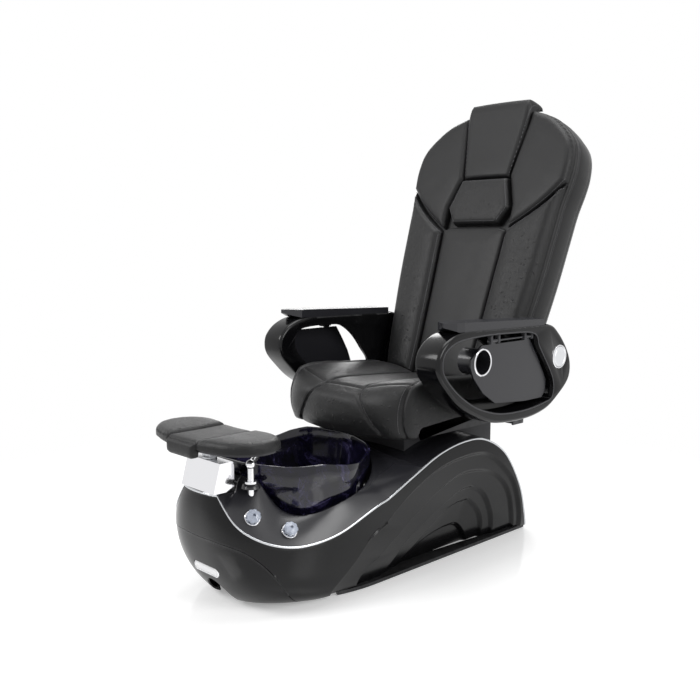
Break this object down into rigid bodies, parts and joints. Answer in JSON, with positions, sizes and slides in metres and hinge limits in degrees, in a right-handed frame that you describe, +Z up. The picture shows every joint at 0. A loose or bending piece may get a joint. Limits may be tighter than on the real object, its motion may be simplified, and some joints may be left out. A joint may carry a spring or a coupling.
{
  "type": "pedicure spa chair",
  "caption": "Pedicure spa chair: moulded base with a glass foot bowl and footrest, sliding seat, reclining massage back, and lift-up arms with fold-out side trays.",
  "frame": {"origin": "on the floor under the middle cross rail of the chassis, on the underside of the centre floor pad", "axes": "+Z up; the sitter faces -Y; +X is the sitter's left; X = 0 is the middle plane"},
  "size_m": [0.772, 1.5282, 1.4754],
  "materials": {
    "black_leather": "smooth black upholstery",
    "bowl_glass": "thick dark violet art glass with pale streaks",
    "brass_body": "plain brass",
    "bright_trim": "polished bright strip",
    "control_silver": "silver disc",
    "frame_steel": "black powder coat",
    "gloss_black": "high-gloss black",
    "grain_leather": "pebbled black upholstery",
    "knob_crystal": "faceted clear acrylic",
    "lamp_lens": "frosted lamp lens",
    "mirror_chrome": "mirror-polished chrome",
    "motor_black": "black paint",
    "moulded_black": "semi-gloss moulded black shell",
    "pipe_plastic": "plain pipe plastic",
    "rail_steel": "bare steel",
    "rubber_pad": "black rubber",
    "satin_black": "satin black moulding"
  },
  "bodies": {
    "base": {"chassis": "frame_steel", "floor_pads": "rubber_pad", "base_shell": "moulded_black", "side_sills": "moulded_black", "kick_panel": "moulded_black", "light_bar": "lamp_lens", "bowl_deck": "gloss_black", "rear_cover": "gloss_black", "deck_trim": "bright_trim", "glass_bowl": "bowl_glass", "bowl_drain": "mirror_chrome", "drain_trap": "pipe_plastic", "jet_housing": "mirror_chrome", "jet_motor": "motor_black", "mirror_column": "mirror_chrome", "spout": "mirror_chrome", "valve_bodies": "brass_body", "water_lines": "rail_steel", "control_box": "satin_black", "seat_pedestal": "satin_black", "lower_rails": "rail_steel", "slide_actuator": "motor_black"},
    "jet_wheel": {"jet_impeller": "pipe_plastic"},
    "hot_knob": {"knob_hot": "knob_crystal"},
    "cold_knob": {"knob_cold": "knob_crystal"},
    "footrest_lift": {"footrest_post": "rail_steel"},
    "footrest": {"footrest_pin": "rail_steel", "footrest_plate": "gloss_black", "footrest_pad_left": "grain_leather", "footrest_pad_middle": "black_leather", "footrest_pad_right": "grain_leather"},
    "seat": {"upper_rails": "rail_steel", "slide_rod": "rail_steel", "seat_frame": "frame_steel", "seat_pan": "satin_black", "seat_cushion": "grain_leather", "recline_pin": "rail_steel", "arm_pivot_left": "frame_steel", "arm_pivot_right": "frame_steel"},
    "back": {"back_frame": "frame_steel", "back_shell": "satin_black", "back_cushion": "grain_leather", "wing_left": "black_leather", "wing_right": "black_leather", "neck_pad": "grain_leather", "headrest_flap": "black_leather", "massage_rails": "rail_steel"},
    "massage_lift": {"massage_carriage": "motor_black"},
    "massage_shaft": {"massage_rollers": "pipe_plastic"},
    "recline_barrel": {"recline_cylinder": "motor_black"},
    "recline_stem": {"recline_rod": "rail_steel"},
    "arm_left": {"arm_shell_left": "satin_black", "arm_top_left": "gloss_black"},
    "arm_right": {"arm_shell_right": "satin_black", "arm_top_right": "gloss_black"},
    "tray_left": {"side_tray_left": "gloss_black"},
    "tray_right": {"side_tray_right": "gloss_black"},
    "seat_control": {"control_rocker": "control_silver"}
  },
  "joints": [
    {"name": "jet_spin", "type": "hinge", "parent": "base", "child": "jet_wheel", "pos_m": [0, -0.55, 0.24], "axis": [0, -1, 0], "continuous": true},
    {"name": "hot_knob_turn", "type": "hinge", "parent": "base", "child": "hot_knob", "pos_m": [0.15069, -0.586, 0.27122], "axis": [0.7625, -0.293, 0.5768], "range_deg": [0, 90]},
    {"name": "cold_knob_turn", "type": "hinge", "parent": "base", "child": "cold_knob", "pos_m": [0.20651, -0.50744, 0.23085], "axis": [0.6835, -0.1701, 0.7098], "range_deg": [0, 90]},
    {"name": "footrest_height", "type": "slide", "parent": "base", "child": "footrest_lift", "axis": [0, 0, 1], "range_m": [0, 0.06]},
    {"name": "footrest_tilt", "type": "hinge", "parent": "footrest_lift", "child": "footrest", "pos_m": [0, -0.612, 0.44], "axis": [1, 0, 0], "range_deg": [-15, 15]},
    {"name": "seat_slide", "type": "slide", "parent": "base", "child": "seat", "axis": [0, 1, 0], "range_m": [-0.06, 0.08]},
    {"name": "back_recline", "type": "hinge", "parent": "seat", "child": "back", "pos_m": [0, 0.43, 0.5], "axis": [-1, 0, 0], "range_deg": [0, 35]},
    {"name": "massage_travel", "type": "slide", "parent": "back", "child": "massage_lift", "axis": [0, 0.3338, 0.9426], "range_m": [0, 0.45]},
    {"name": "massage_turn", "type": "hinge", "parent": "massage_lift", "child": "massage_shaft", "pos_m": [0, 0.50424, 0.73362], "axis": [1, 0, 0], "continuous": true},
    {"name": "barrel_pivot", "type": "hinge", "parent": "seat", "child": "recline_barrel", "pos_m": [0, 0.08, 0.45], "axis": [1, 0, 0], "range_deg": [-0.5, 4.5]},
    {"name": "stem_travel", "type": "slide", "parent": "recline_barrel", "child": "recline_stem", "axis": [0, 1, -0.0056], "range_m": [-0.028, 0.002]},
    {"name": "arm_lift_left", "type": "hinge", "parent": "seat", "child": "arm_left", "pos_m": [0.305, 0.42, 0.6], "axis": [-1, 0, 0], "range_deg": [0, 50]},
    {"name": "arm_lift_right", "type": "hinge", "parent": "seat", "child": "arm_right", "pos_m": [-0.305, 0.42, 0.6], "axis": [-1, 0, 0], "range_deg": [0, 50]},
    {"name": "tray_fold_left", "type": "hinge", "parent": "arm_left", "child": "tray_left", "pos_m": [0.371, 0.235, 0.699], "axis": [0, -1, 0], "range_deg": [0, 90]},
    {"name": "tray_fold_right", "type": "hinge", "parent": "arm_right", "child": "tray_right", "pos_m": [-0.371, 0.15, 0.699], "axis": [0, 1, 0], "range_deg": [0, 90]},
    {"name": "control_rock", "type": "hinge", "parent": "arm_left", "child": "seat_control", "pos_m": [0.376, 0.482, 0.622], "axis": [0, 1, 0], "range_deg": [-4, 4], "stiffness_Nm_per_rad": 2}
  ],
  "couplings": [
    {"joint": "barrel_pivot", "follows": "back_recline", "ratio": 0.10589},
    {"joint": "stem_travel", "follows": "back_recline", "m_per_rad": -0.042399}
  ]
}
